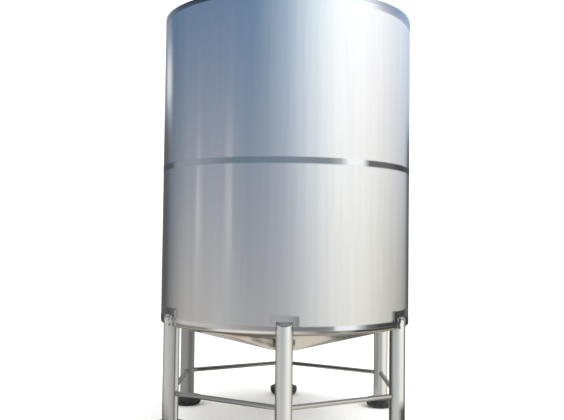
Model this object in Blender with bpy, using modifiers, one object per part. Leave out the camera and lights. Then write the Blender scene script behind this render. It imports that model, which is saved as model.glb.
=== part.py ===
"""Vertical storage tank of stainless plate on six tube legs.

Two rolled courses, a shallow cone below and another on top. The frame is
in metres with +Z up, and the origin is on the floor under the tank's axis.
One leg stands on the -Y side.
"""
import math

import bmesh
import bpy
from mathutils import Matrix, Vector

# Shell, in metres
SHELL_RADIUS = 1.050
PLATE = 0.004
LOWER_COURSE = 1.249
UPPER_COURSE = 1.238
SEAM_BOTTOM = 0.863
SEAM_MIDDLE = SEAM_BOTTOM + LOWER_COURSE
SEAM_TOP = SEAM_MIDDLE + UPPER_COURSE

# Cones that close the shell at both ends
CONE_SLOPE = math.radians(15.0)
CONE_FLANGE = 0.026
KNUCKLE_RADIUS = 0.014
KNUCKLE_STEPS = 2

# Clamp nozzles at the two apexes
NOZZLE_RADIUS = 0.038
NOZZLE_WALL = 0.002
NOZZLE_LENGTH = 0.115
NOZZLE_INSIDE = 0.015
FERRULE_RADIUS = 0.0455
FERRULE_RIM = 0.003
FERRULE_TAPER = 0.004

# Bolted manway in the roof
MANWAY_OFFSET = 0.500
MANWAY_RADIUS = 0.254
MANWAY_TOP = 3.690
MANWAY_INSIDE = 0.020
MANWAY_FLANGE_RADIUS = 0.305
MANWAY_FLANGE = 0.014
LID_PLATE = 0.010
LID_CROWN = 0.022
LID_CROWN_RADIUS = 0.235
# Two points of the crown's line, as shares of its radius and its rise
LID_CROWN_LINE = ((0.45, 0.82), (0.80, 0.38))

# Lifting lugs on the roof
LUG_OFFSET = 0.860
LUG_WIDTH = 0.090
LUG_HEIGHT = 0.100
LUG_PLATE = 0.012
LUG_EYE_RADIUS = 0.018

# Legs, their pads and feet
LEG_COUNT = 6
LEG_RING = 1.032
LEG_RADIUS = 0.0635
LEG_TOP_OUTSIDE = 0.905
LEG_TOP_SLOPE = math.radians(30.0)
PAD_BOTTOM = 0.889
PAD_TOP = 0.983
PAD_PLATE = 0.006
PAD_FACETS = 3
PAD_CORNER = 0.025
FOOT_HEIGHT = 0.078
FOOT_RADIUS = 0.130
FOOT_SOLE_RADIUS = 0.085
FOOT_SHOULDER = 0.010

# Rails between neighbouring legs
RAIL_HEIGHT = 0.309
RAIL_RADIUS = 0.019
RAIL_TRIM = LEG_RADIUS / 2.0

# Fineness, and the gap kept between touching pieces
SEGMENTS = 6
FACETS = 90
FACET = math.tau / FACETS
LEG_SIDES = 32
FOOT_SIDES = 24
NOZZLE_SIDES = 32
MANWAY_SIDES = 48
RAIL_RESOLUTION = 4
LUG_HEAD_STEPS = 10
LUG_EYE_STEPS = 16
PAD_CORNER_STEPS = 4
FOOT_EDGE_STEPS = 3
SMOOTH_ANGLE = math.radians(30.0)
GAP = 0.0003
SEGMENT_GAP = 2 * GAP
OVERCUT = 0.050
MERGE = 0.00005


def clear_scene():
    for item in list(bpy.data.objects):
        bpy.data.objects.remove(item, do_unlink=True)


def new_collection(name):
    collection = bpy.data.collections.new(name)
    bpy.context.scene.collection.children.link(collection)
    return collection


def finish(name, colour, roughness, metallic):
    material = bpy.data.materials.new(name)
    material.use_nodes = True
    shader = material.node_tree.nodes["Principled BSDF"]
    shader.inputs["Base Color"].default_value = (*colour, 1.0)
    shader.inputs["Roughness"].default_value = roughness
    shader.inputs["Metallic"].default_value = metallic
    return material


def add_object(name, mesh, collection, material=None):
    piece = bpy.data.objects.new(name, mesh)
    collection.objects.link(piece)
    if material is not None:
        piece.data.materials.append(material)
    return piece


def hide_cutter(piece):
    piece.hide_render = True
    piece.display_type = "WIRE"
    return piece


def shade(piece):
    piece.data.shade_smooth()
    piece.data.set_sharp_from_angle(angle=SMOOTH_ANGLE)


def baked(piece):
    """Apply the modifiers of a piece, and keep its place in its mesh."""
    bpy.context.view_layer.update()
    graph = bpy.context.evaluated_depsgraph_get()
    mesh = bpy.data.meshes.new_from_object(piece.evaluated_get(graph))
    mesh.transform(piece.matrix_world)
    mesh.name = piece.name
    piece.modifiers.clear()
    piece.matrix_world = Matrix.Identity(4)
    piece.data = mesh
    return piece


def profile_mesh(name, points, closed):
    """A run of edges in the XZ plane, for a turned shape."""
    mesh = bpy.data.meshes.new(name)
    edges = [(i, i + 1) for i in range(len(points) - 1)]
    if closed:
        edges.append((len(points) - 1, 0))
    mesh.from_pydata([(radius, 0.0, height) for radius, height in points], edges, [])
    return mesh


def turned(name, points, collection, material=None, closed=False, steps=FACETS, angle=math.tau):
    """Turn a profile about Z. It runs down its outer side, top to bottom."""
    piece = add_object(name, profile_mesh(name, points, closed), collection, material)
    screw = piece.modifiers.new("Turn", "SCREW")
    screw.axis = "Z"
    screw.angle = angle
    screw.steps = steps
    screw.render_steps = steps
    screw.use_merge_vertices = True
    screw.merge_threshold = MERGE
    screw.use_smooth_shade = True
    return piece


def cut(piece, cutter):
    tool = piece.modifiers.new("Cut " + cutter.name, "BOOLEAN")
    tool.operation = "DIFFERENCE"
    tool.solver = "EXACT"
    tool.object = cutter


def fillet(before, corner, after, radius, steps):
    """Points of an arc that rounds a corner of a profile."""
    corner = Vector(corner)
    back = (Vector(before) - corner).normalized()
    ahead = (Vector(after) - corner).normalized()
    half = back.angle(ahead) / 2.0
    middle = corner + (back + ahead).normalized() * radius / math.sin(half)
    first = corner + back * radius / math.tan(half) - middle
    turn = math.pi - 2.0 * half
    side = 1.0 if first.cross(ahead) > 0.0 else -1.0
    points = []
    for i in range(steps + 1):
        spoke = Matrix.Rotation(side * turn * i / steps, 2) @ first
        points.append(tuple(middle + spoke))
    return points


def bearing(index):
    """Direction of a leg, counted from the -Y side towards +X."""
    angle = math.tau * index / LEG_COUNT
    return Vector((math.sin(angle), -math.cos(angle), 0.0))


def cone_profile(outer_radius, end_radius, flange_top):
    """Outer line of the bottom cone, from its flange down to its hole."""
    crease = (outer_radius, SEAM_BOTTOM - CONE_FLANGE)
    drop = (outer_radius - end_radius) * math.tan(CONE_SLOPE)
    end = (end_radius, crease[1] - drop)
    start = (outer_radius, flange_top)
    return [start] + fillet(start, crease, end, KNUCKLE_RADIUS, KNUCKLE_STEPS) + [end]


def make_end(name, collection, material, roof):
    """One cone with its flange. The roof is the bottom turned over."""
    hole = NOZZLE_RADIUS + GAP
    rim = SEAM_BOTTOM - GAP / 2.0
    outer = cone_profile(SHELL_RADIUS, hole, rim)
    corner = PLATE * math.tan((math.pi / 2.0 - CONE_SLOPE) / 2.0)
    crease = (SHELL_RADIUS - PLATE, SEAM_BOTTOM - CONE_FLANGE + corner)
    drop = (crease[0] - hole) * math.tan(CONE_SLOPE)
    tip = (hole, crease[1] - drop)
    start = (crease[0], rim)
    inner = [start] + fillet(start, crease, tip, KNUCKLE_RADIUS - PLATE, KNUCKLE_STEPS) + [tip]
    points = outer + inner[::-1]
    if roof:
        points = [(radius, SEAM_BOTTOM + SEAM_TOP - height) for radius, height in points[::-1]]
    return turned(name, points, collection, material, closed=True)


def cone_height(radius):
    """Height of the bottom cone's underside at a radius."""
    return SEAM_BOTTOM - CONE_FLANGE - (SHELL_RADIUS - radius) * math.tan(CONE_SLOPE)


def roof_height(radius):
    return SEAM_BOTTOM + SEAM_TOP - cone_height(radius)


def make_courses(collection, material):
    """Two rolled courses, each in six segments."""
    span = math.tau / SEGMENTS
    margin = SEGMENT_GAP / SHELL_RADIUS
    courses = (("lower", SEAM_BOTTOM, SEAM_MIDDLE), ("upper", SEAM_MIDDLE, SEAM_TOP))
    for course, low, high in courses:
        line = [(SHELL_RADIUS, high - GAP / 2.0), (SHELL_RADIUS, low + GAP / 2.0)]
        for index in range(SEGMENTS):
            name = f"shell_{course}_{index + 1}"
            wall = turned(name, line, collection, material,
                          steps=FACETS // SEGMENTS, angle=span - margin)
            wall.rotation_euler.z = span * (index - 2) + margin / 2.0
            thick = wall.modifiers.new("Plate", "SOLIDIFY")
            thick.thickness = PLATE
            thick.offset = -1.0
            thick.use_even_offset = True
            thick.use_rim = True


def nozzle_profile(face, inside):
    """Neck with a clamp ferrule, facing down, from its inner end to its face."""
    bore = NOZZLE_RADIUS - NOZZLE_WALL
    return [
        (NOZZLE_RADIUS, inside),
        (NOZZLE_RADIUS, face + FERRULE_RIM + FERRULE_TAPER),
        (FERRULE_RADIUS, face + FERRULE_RIM),
        (FERRULE_RADIUS, face),
        (bore, face),
        (bore, inside),
    ]


def make_nozzles(collection, material):
    apex = cone_height(NOZZLE_RADIUS)
    points = nozzle_profile(apex - NOZZLE_LENGTH, apex + NOZZLE_INSIDE)
    turned("outlet_nozzle", points, collection, material, closed=True, steps=NOZZLE_SIDES)
    upper = [(radius, SEAM_BOTTOM + SEAM_TOP - height) for radius, height in points[::-1]]
    turned("roof_nozzle", upper, collection, material, closed=True, steps=NOZZLE_SIDES)


def make_manway(collection, cutters, material, roof):
    """Neck and bolted lid behind the roof's nozzle, and the hole for the neck."""
    bottom = roof_height(MANWAY_OFFSET + MANWAY_RADIUS) - MANWAY_INSIDE
    bore = MANWAY_RADIUS - PLATE
    neck = turned("manway_neck", [
        (MANWAY_FLANGE_RADIUS, MANWAY_TOP),
        (MANWAY_FLANGE_RADIUS, MANWAY_TOP - MANWAY_FLANGE),
        (MANWAY_RADIUS, MANWAY_TOP - MANWAY_FLANGE),
        (MANWAY_RADIUS, bottom),
        (bore, bottom),
        (bore, MANWAY_TOP),
    ], collection, material, closed=True, steps=MANWAY_SIDES)
    seat = MANWAY_TOP + GAP
    crown = [(LID_CROWN_RADIUS * reach, seat + LID_PLATE + LID_CROWN * rise)
             for reach, rise in LID_CROWN_LINE]
    lid = turned("manway_lid", [
        (0.0, seat + LID_PLATE + LID_CROWN),
        *crown,
        (LID_CROWN_RADIUS, seat + LID_PLATE),
        (MANWAY_FLANGE_RADIUS, seat + LID_PLATE),
        (MANWAY_FLANGE_RADIUS, seat),
        (0.0, seat),
    ], collection, material, steps=MANWAY_SIDES)
    opening = hide_cutter(turned("manway_hole", [
        (0.0, MANWAY_TOP),
        (MANWAY_RADIUS + GAP, MANWAY_TOP),
        (MANWAY_RADIUS + GAP, bottom - OVERCUT),
        (0.0, bottom - OVERCUT),
    ], cutters, steps=MANWAY_SIDES))
    for piece in (neck, lid, opening):
        piece.location.y = MANWAY_OFFSET
    cut(roof, opening)


def make_lugs(collection, material):
    """Two upright eye plates, across the roof from each other."""
    low = roof_height(LUG_OFFSET + LUG_WIDTH / 2.0) + GAP / math.cos(CONE_SLOPE)
    high = roof_height(LUG_OFFSET - LUG_WIDTH / 2.0) + GAP / math.cos(CONE_SLOPE)
    head = LUG_WIDTH / 2.0
    eye_height = high + LUG_HEIGHT - head
    outline = [(head, low), (-head, high)]
    for i in range(LUG_HEAD_STEPS + 1):
        angle = math.pi - math.pi * i / LUG_HEAD_STEPS
        outline.append((head * math.cos(angle), eye_height + head * math.sin(angle)))
    eye = []
    for i in range(LUG_EYE_STEPS):
        angle = math.tau * i / LUG_EYE_STEPS
        eye.append((LUG_EYE_RADIUS * math.cos(angle), eye_height + LUG_EYE_RADIUS * math.sin(angle)))
    for index, side in enumerate((1.0, -1.0)):
        name = f"lifting_lug_{index + 1}"
        curve = bpy.data.curves.new(name, "CURVE")
        curve.dimensions = "2D"
        curve.fill_mode = "BOTH"
        curve.extrude = LUG_PLATE / 2.0
        for loop in (outline, eye):
            spline = curve.splines.new("POLY")
            spline.points.add(len(loop) - 1)
            for point, (along, height) in zip(spline.points, loop):
                point.co = (side * along, height, 0.0, 1.0)
            spline.use_cyclic_u = True
        lug = add_object(name, curve, collection, material)
        lug.rotation_euler.x = math.pi / 2.0
        lug.location.x = side * LUG_OFFSET


def make_envelope(cutters):
    """Outside of the shell and bottom cone, one gap larger, to cope the legs."""
    grown = SHELL_RADIUS + GAP
    line = cone_profile(grown, 0.0, PAD_TOP + OVERCUT)
    drop = GAP / math.cos(CONE_SLOPE)
    points = [(0.0, PAD_TOP + OVERCUT), line[0]]
    points += [(radius, height - drop) for radius, height in line[1:]]
    return hide_cutter(turned("tank_outside", points, cutters))


def arc_plate(name, inner, thickness, low, high, facets, collection, material):
    """Curved plate that follows the shell's facets, centred on the -Y side."""
    radius = inner + thickness
    plate = turned(name, [(radius, high), (radius, low)], collection, material,
                   steps=facets, angle=facets * FACET)
    plate.rotation_euler.z = -math.pi / 2.0 - facets * FACET / 2.0
    thick = plate.modifiers.new("Plate", "SOLIDIFY")
    thick.thickness = thickness
    thick.offset = -1.0
    thick.use_even_offset = True
    return baked(plate)


def round_corners(mesh, radius):
    """Round the four corners of a curved plate, seen from outside the tank."""
    shape = bmesh.new()
    shape.from_mesh(mesh)
    half_width = max(abs(vert.co.x) for vert in shape.verts)
    corners = []
    for edge in shape.edges:
        first, second = (vert.co for vert in edge.verts)
        flat = abs(first.z - second.z) < MERGE
        short = (first - second).length < 2.0 * PAD_PLATE
        if flat and short and min(abs(first.x), abs(second.x)) > half_width - PAD_PLATE / 2.0:
            corners.append(edge)
    bmesh.ops.bevel(shape, geom=corners, offset=radius, offset_type="OFFSET",
                    segments=PAD_CORNER_STEPS, profile=0.5, affect="EDGES")
    shape.to_mesh(mesh)
    shape.free()


def make_pads(collection, material):
    plate = arc_plate("leg_pad_1", SHELL_RADIUS + GAP, PAD_PLATE, PAD_BOTTOM, PAD_TOP,
                      PAD_FACETS, collection, material)
    round_corners(plate.data, PAD_CORNER)
    shade(plate)
    pads = [plate]
    for index in range(1, LEG_COUNT):
        pad = add_object(f"leg_pad_{index + 1}", plate.data, collection)
        pad.rotation_euler.z = math.tau * index / LEG_COUNT
        pads.append(pad)
    return pads


def make_legs(collection, cutters, material):
    """Tube legs, coped to the shell, the cone and the pad, with a sloped cap."""
    envelope = make_envelope(cutters)
    recess = hide_cutter(arc_plate("pad_recess", SHELL_RADIUS, PAD_PLATE + 2.0 * GAP,
                                   PAD_BOTTOM - GAP, PAD_TOP + GAP, PAD_FACETS + 2,
                                   cutters, None))
    bottom = FOOT_HEIGHT + GAP
    height = PAD_TOP - bottom
    mesh = bpy.data.meshes.new("leg_1")
    shape = bmesh.new()
    bmesh.ops.create_cone(shape, cap_ends=True, segments=LEG_SIDES, radius1=LEG_RADIUS,
                          radius2=LEG_RADIUS, depth=height)
    bmesh.ops.translate(shape, verts=shape.verts, vec=(0.0, -LEG_RING, bottom + height / 2.0))
    edge = Vector((0.0, -LEG_RING - LEG_RADIUS, LEG_TOP_OUTSIDE))
    normal = Vector((0.0, -math.sin(LEG_TOP_SLOPE), math.cos(LEG_TOP_SLOPE)))
    sliced = bmesh.ops.bisect_plane(shape, geom=shape.verts[:] + shape.edges[:] + shape.faces[:],
                                    plane_co=edge, plane_no=normal, clear_outer=True)
    rim = [item for item in sliced["geom_cut"] if isinstance(item, bmesh.types.BMEdge)]
    bmesh.ops.contextual_create(shape, geom=rim)
    bmesh.ops.recalc_face_normals(shape, faces=shape.faces)
    shape.to_mesh(mesh)
    shape.free()
    first = add_object("leg_1", mesh, collection, material)
    cut(first, envelope)
    cut(first, recess)
    baked(first)
    shade(first)
    legs = [first]
    for index in range(1, LEG_COUNT):
        leg = add_object(f"leg_{index + 1}", first.data, collection)
        leg.rotation_euler.z = math.tau * index / LEG_COUNT
        legs.append(leg)
    return legs


def make_feet(collection, material):
    """Round feet with a flat sole and a rounded lower edge."""
    sole = (FOOT_SOLE_RADIUS, 0.0)
    rise = FOOT_RADIUS - FOOT_SOLE_RADIUS
    side = [(FOOT_RADIUS - FOOT_SHOULDER, FOOT_HEIGHT), (FOOT_RADIUS, FOOT_HEIGHT - FOOT_SHOULDER)]
    for i in range(FOOT_EDGE_STEPS):
        angle = math.pi / 2.0 * i / FOOT_EDGE_STEPS
        side.append((FOOT_SOLE_RADIUS + rise * math.cos(angle), rise - rise * math.sin(angle)))
    points = [(0.0, FOOT_HEIGHT)] + side + [sole, (0.0, 0.0)]
    for index in range(LEG_COUNT):
        foot = turned(f"foot_{index + 1}", points, collection, material, steps=FOOT_SIDES)
        foot.location = bearing(index) * LEG_RING


def make_rails(collection, cutters, material):
    """Straight rails between neighbouring legs, their ends coped to the tubes."""
    for index in range(LEG_COUNT):
        name = f"rail_{index + 1}"
        start = bearing(index) * LEG_RING
        end = bearing(index + 1) * LEG_RING
        along = (end - start).normalized()
        curve = bpy.data.curves.new(name, "CURVE")
        curve.dimensions = "3D"
        curve.bevel_depth = RAIL_RADIUS
        curve.bevel_resolution = RAIL_RESOLUTION
        curve.use_fill_caps = True
        spline = curve.splines.new("POLY")
        spline.points.add(1)
        for point, place in zip(spline.points, (start + along * RAIL_TRIM, end - along * RAIL_TRIM)):
            point.co = (place.x, place.y, RAIL_HEIGHT, 1.0)
        guide = add_object(name + "_line", curve, collection, material)
        bpy.context.view_layer.update()
        graph = bpy.context.evaluated_depsgraph_get()
        mesh = bpy.data.meshes.new_from_object(guide.evaluated_get(graph))
        bpy.data.objects.remove(guide, do_unlink=True)
        shape = bmesh.new()
        shape.from_mesh(mesh)
        bmesh.ops.remove_doubles(shape, verts=shape.verts, dist=MERGE)
        bmesh.ops.recalc_face_normals(shape, faces=shape.faces)
        shape.to_mesh(mesh)
        shape.free()
        rail = add_object(name, mesh, collection)
        for place in (index, (index + 1) % LEG_COUNT):
            cut(rail, cutters.objects[f"leg_outside_{place + 1}"])
        baked(rail)
        shade(rail)


def make_leg_cutters(cutters):
    """Leg tubes, one gap larger, that cope the rails' ends."""
    depth = 4.0 * RAIL_RADIUS
    for index in range(LEG_COUNT):
        mesh = bpy.data.meshes.new(f"leg_outside_{index + 1}")
        shape = bmesh.new()
        bmesh.ops.create_cone(shape, cap_ends=True, segments=LEG_SIDES, depth=depth,
                              radius1=LEG_RADIUS + GAP, radius2=LEG_RADIUS + GAP)
        shape.to_mesh(mesh)
        shape.free()
        tube = hide_cutter(add_object(mesh.name, mesh, cutters))
        tube.location = bearing(index) * LEG_RING
        tube.location.z = RAIL_HEIGHT
        tube.rotation_euler.z = math.tau * index / LEG_COUNT


def main():
    clear_scene()
    tank = new_collection("storage_tank")
    cutters = new_collection("cutters")
    brushed = finish("brushed_stainless", (0.55, 0.57, 0.60), 0.32, 1.0)
    tube = finish("satin_stainless_tube", (0.58, 0.58, 0.57), 0.28, 1.0)
    fitting = finish("turned_stainless", (0.60, 0.61, 0.62), 0.22, 1.0)
    rubber = finish("black_rubber", (0.02, 0.02, 0.022), 0.65, 0.0)
    make_courses(tank, brushed)
    make_end("bottom_cone", tank, brushed, roof=False)
    roof = make_end("roof_cone", tank, brushed, roof=True)
    make_nozzles(tank, fitting)
    make_manway(tank, cutters, fitting, roof)
    make_lugs(tank, fitting)
    make_pads(tank, tube)
    make_legs(tank, cutters, tube)
    make_feet(tank, rubber)
    make_leg_cutters(cutters)
    make_rails(tank, cutters, tube)


main()
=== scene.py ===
"""Looks of a vertical storage tank of stainless steel, dressed around its solid model.

Metres, +Z up, origin on the floor under the tank's axis. One leg stands on the -Y side.
"""
import math

import bmesh
import bpy
from mathutils import Matrix, Vector


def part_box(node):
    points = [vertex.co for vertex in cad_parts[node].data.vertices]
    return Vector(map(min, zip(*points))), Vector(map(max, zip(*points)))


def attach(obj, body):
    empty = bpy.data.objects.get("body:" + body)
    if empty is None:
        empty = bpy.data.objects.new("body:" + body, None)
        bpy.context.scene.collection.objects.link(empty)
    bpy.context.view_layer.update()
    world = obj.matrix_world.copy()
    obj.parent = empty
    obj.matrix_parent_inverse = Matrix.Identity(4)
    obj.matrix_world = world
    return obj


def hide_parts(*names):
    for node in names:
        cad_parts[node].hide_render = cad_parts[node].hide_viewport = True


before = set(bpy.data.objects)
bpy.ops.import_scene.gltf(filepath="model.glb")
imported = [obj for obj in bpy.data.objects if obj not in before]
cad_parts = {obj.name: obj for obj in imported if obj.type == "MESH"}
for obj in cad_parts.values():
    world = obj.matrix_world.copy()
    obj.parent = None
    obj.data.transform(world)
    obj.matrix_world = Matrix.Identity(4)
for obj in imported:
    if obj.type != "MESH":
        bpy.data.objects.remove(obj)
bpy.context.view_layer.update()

# Sizes read from the solid model
LEG_COUNT = 6
SHELL_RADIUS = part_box("bottom_cone")[1].x
SEAM_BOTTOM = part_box("shell_lower_1")[0].z
SEAM_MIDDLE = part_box("shell_upper_1")[0].z
SEAM_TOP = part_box("shell_upper_1")[1].z
LEG_LOW, LEG_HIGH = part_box("leg_1")
LEG_RADIUS = (LEG_HIGH.x - LEG_LOW.x) / 2.0
LEG_RING = -(LEG_HIGH.y + LEG_LOW.y) / 2.0
PAD_LOW, PAD_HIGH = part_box("leg_pad_1")
FOOT_LOW, FOOT_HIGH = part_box("foot_1")
RAIL_LOW, RAIL_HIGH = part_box("rail_2")
RAIL_RADIUS = (RAIL_HIGH.z - RAIL_LOW.z) / 2.0
RAIL_HEIGHT = (RAIL_HIGH.z + RAIL_LOW.z) / 2.0
OUTLET_LOW, OUTLET_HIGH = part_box("outlet_nozzle")
NECK_LOW, NECK_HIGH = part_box("manway_neck")
NECK_CENTRE = (NECK_LOW.y + NECK_HIGH.y) / 2.0
LID_LOW, LID_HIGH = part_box("manway_lid")

# Plate, cones and welds
ROUND = 256
PLATE = 0.004
CONE_SLOPE = math.radians(15.0)
CONE_FLANGE = 0.026
CONE_RINGS = 5
KNUCKLE_RADIUS = 0.014
BAND_WIDTH = 0.050
BAND_PROUD = 0.0012
BOTTOM_BAND = (0.034, -0.004)
SEAM_FROM_ANGLE = -10.0
SEAM_ON_CONE = 0.010
WELD = 0.0035
RAIL_WELD = WELD * 0.8
FITTING_WELD = 0.003

# Legs, pads, feet and rails
LEG_SIDES = 64
LEG_TOP_OUTSIDE = 0.905
LEG_TOP_SLOPE = math.radians(30.0)
PAD_PLATE = 0.006
PAD_CORNER = 0.025
PAD_EASE = 0.0018
FOOT_SOLE_RADIUS = 0.085
FOOT_SHOULDER = 0.010
RAIL_SIDES = 40

# Nozzles, manway and eye plates
FITTING_SIDES = 96
NOZZLE_RADIUS = 0.038
NOZZLE_WALL = 0.002
NOZZLE_EASE = 0.0005
FERRULE_RIM = 0.003
FERRULE_TAPER = 0.004
FERRULE_LIP = 0.004
FERRULE_RECESS = 0.0012
NECK_RADIUS = 0.254
MANWAY_SIDES = 128
MANWAY_FLANGE = 0.014
MANWAY_EASE = 0.0012
LID_PLATE = 0.010
LID_DISH_RADIUS = 0.235
LID_RINGS = 8
LID_EASE = 0.0015
BOLT_COUNT = 16
BOLT_HALF_WIDTH = 0.012
BOLT_HEAD = 0.010
BOLT_NUT = 0.012
BOLT_EASE = 0.0010
WASHER_RADIUS = 0.0145
WASHER_PLATE = 0.0025
WASHER_EASE = 0.0004
EYE_PLATE_EASE = 0.0015

# Gap between two pieces, spare length of a cutter, and the place that a bead's points are sorted from
GAP = 0.0003
CUT_SPARE = 0.05
SORT_FROM = (1.7, -2.9, 0.3)

# Points closer than these become one: on an outline, on a bead's skin and in loose triangles
MERGE_OUTLINE = 0.0002
MERGE_BEAD = 0.00005
MERGE_LOOSE = 0.00002

# Angles between two faces, in degrees: least for a sharp edge, and for an edge that easing takes in
SHARP = 35.0
BEAD_SHARP = 60.0
NUT_SHARP = 30.0
EASED = 40.0
NUT_EASED = 50.0

# Camera, fitted to the tank's ellipses and edges in the photograph
PHOTO_WIDTH = 564
CAMERA_FOCAL_PX = 757.9
CAMERA_DISTANCE = 6.551
CAMERA_HEIGHT = 1.534
CAMERA_PITCH = math.radians(2.18)
CAMERA_ROLL = math.radians(0.70)
CAMERA_YAW = math.radians(0.29)
CAMERA_SEES = 200.0
SENSOR = 36.0

# Softboxes: place, side and power
SOFTBOXES = {
    "key_softbox": ((6.0, -4.5, 7.5), 5.0, 900.0),
    "fill_softbox": ((-7.0, -5.0, 6.0), 6.0, 350.0),
}
SOFTBOXES_AIM = (0.0, 0.0, 1.0)
FLOOR_RADIUS = 60.0
PAPER = (1.0, 1.0, 1.0, 1.0)
PAPER_STRENGTH = 1.25

# Studio panels that the steel mirrors: azimuth in degrees, 0 behind the camera, 90 on its right
LOW_PANELS = [
    (-180, (0.45, 0.43, 0.40)), (-140, (0.12, 0.12, 0.11)), (-120, (0.48, 0.45, 0.40)),
    (-100, (0.74, 0.70, 0.62)), (-80, (0.76, 0.72, 0.67)), (-64, (0.80, 0.77, 0.72)),
    (-48, (0.69, 0.67, 0.63)), (-30, (0.60, 0.58, 0.55)), (-15, (0.60, 0.56, 0.55)),
    (0, (0.64, 0.60, 0.58)), (12, (0.74, 0.73, 0.72)), (30, (0.95, 0.91, 0.88)),
    (45, (1.08, 1.05, 1.00)), (60, (1.13, 1.13, 1.02)), (75, (1.10, 1.08, 0.95)),
    (95, (0.89, 0.87, 0.74)), (120, (0.64, 0.60, 0.46)), (135, (0.42, 0.38, 0.26)),
    (150, (0.20, 0.19, 0.15)), (165, (0.12, 0.12, 0.10)), (180, (0.45, 0.43, 0.40)),
]
HIGH_PANELS = [
    (-180, (0.55, 0.66, 0.80)), (-130, (0.09, 0.25, 0.48)), (-100, (0.02, 0.19, 0.48)),
    (-60, (0.02, 0.18, 0.47)), (-30, (0.08, 0.29, 0.62)), (-15, (0.30, 0.53, 0.80)),
    (0, (0.58, 0.82, 1.14)), (12, (1.00, 1.20, 1.45)), (30, (1.48, 1.72, 1.88)),
    (45, (1.94, 2.04, 2.12)), (75, (1.96, 1.98, 2.08)), (95, (1.82, 1.84, 1.98)),
    (112, (1.58, 1.65, 1.86)), (135, (1.30, 1.49, 1.83)), (158, (0.98, 1.15, 1.42)),
    (180, (0.55, 0.66, 0.80)),
]

# Where each next layer of the studio begins and is full, as the sine of the elevation
PANELS_MEET = (-0.28, 0.58)
OVERHEAD = (0.40, 0.42, 0.45, 1.0)
OVERHEAD_FROM = (0.42, 0.58)
FLOOR_CARD = (0.92, 0.85, 0.72, 1.0)
FLOOR_CARD_FROM = (-0.22, -0.34)
FLOOR_CARD_COVER = 0.62
FLOOR_NEAR = (0.70, 0.70, 0.69, 1.0)
FLOOR_NEAR_FROM = (-0.48, -0.72)

# Cards and lamps hung in front of the panels, in degrees: middle azimuth, half width, soft edge,
# lowest and highest elevation, soft edge; then linear colour and how much each one covers
CARDS = {
    "tube_lamp_left": (-85.0, 1.2, 2.0, -1.0, 5.5, 3.0, (1.08, 1.07, 1.06), 1.0),
    "tube_lamp_near_left": (-51.5, 1.2, 2.0, -0.5, 6.2, 3.0, (1.12, 1.12, 1.11), 1.0),
    "window_far_left": (-141.0, 5.0, 5.0, 10.0, 13.4, 2.0, (1.32, 1.32, 1.32), 1.0),
    "pale_skirting_left": (-22.0, 22.0, 12.0, -26.0, -10.5, 2.0, (0.82, 0.82, 0.80), 0.80),
    "dark_far_left": (-156.0, 12.0, 10.0, -9.0, 9.0, 2.5, (0.13, 0.12, 0.11), 0.92),
    "dark_far_right": (166.0, 10.0, 16.0, -9.0, 8.0, 2.5, (0.08, 0.08, 0.08), 0.90),
    "grey_card_behind": (180.0, 34.0, 8.0, 18.5, 38.0, 3.0, (0.60, 0.60, 0.60), 0.95),
    "shade_behind_right": (168.0, 6.0, 1.2, -26.0, -12.0, 3.0, (0.15, 0.15, 0.14), 0.94),
}

# Tones of painted reflections, highlights and shade, on strips hung close to the weld bands, pads and
# legs
# and seen only in their steel: azimuth in degrees, linear colour and cover
TOP_FLAG = [
    (-75, (0.30, 0.38, 0.46), 0.9), (-56, (0.09, 0.14, 0.20), 1.0), (-38, (0.05, 0.07, 0.12), 1.0),
    (-15, (0.08, 0.12, 0.20), 1.0), (10, (0.50, 0.60, 0.75), 0.9), (28, (1.20, 1.25, 1.30), 0.0),
    (38, (0.90, 0.95, 1.05), 0.6), (46, (0.60, 0.66, 0.80), 0.9), (58, (0.34, 0.48, 0.70), 0.9),
    (75, (0.40, 0.58, 0.85), 0.8),
]
UNDER_TOP_FLAG = [
    (38, (0.90, 0.95, 1.05), 0.0), (46, (0.60, 0.66, 0.80), 0.7), (56, (0.40, 0.52, 0.72), 0.9),
    (75, (0.45, 0.60, 0.85), 0.8),
]
MIDDLE_FLAG = [
    (-64, (0.10, 0.10, 0.10), 0.8), (-57, (0.40, 0.41, 0.43), 0.8), (-44, (0.48, 0.50, 0.53), 0.9),
    (-32, (0.36, 0.41, 0.47), 0.95), (-20, (0.24, 0.32, 0.40), 1.0), (-5, (0.28, 0.35, 0.43), 1.0),
    (6, (0.36, 0.42, 0.49), 1.0), (18, (0.42, 0.46, 0.48), 1.0), (23, (0.66, 0.68, 0.68), 0.9),
    (27, (1.60, 1.62, 1.60), 0.9), (34, (1.60, 1.62, 1.58), 0.9), (38, (0.24, 0.24, 0.23), 1.0),
    (50, (0.22, 0.22, 0.21), 1.0), (62, (0.09, 0.09, 0.09), 1.0), (80, (0.09, 0.09, 0.09), 0.9),
]
BOTTOM_FLAG = [
    (-72, (0.07, 0.07, 0.07), 0.9), (-62, (0.12, 0.12, 0.12), 0.9), (-55, (0.60, 0.59, 0.56), 0.9),
    (-50, (0.86, 0.84, 0.80), 0.9), (-30, (0.82, 0.80, 0.76), 0.9), (-18, (0.62, 0.58, 0.52), 0.9),
    (-8, (0.48, 0.46, 0.44), 0.9), (6, (0.30, 0.30, 0.29), 0.95), (16, (0.30, 0.30, 0.29), 0.95),
    (20, (0.45, 0.45, 0.44), 0.95), (22, (1.40, 1.40, 1.37), 1.0), (30, (1.50, 1.50, 1.47), 1.0),
    (34, (0.80, 0.80, 0.78), 0.95), (38, (0.20, 0.20, 0.19), 0.95), (45, (0.07, 0.07, 0.06), 0.97),
    (60, (0.06, 0.06, 0.05), 0.97),
]
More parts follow.
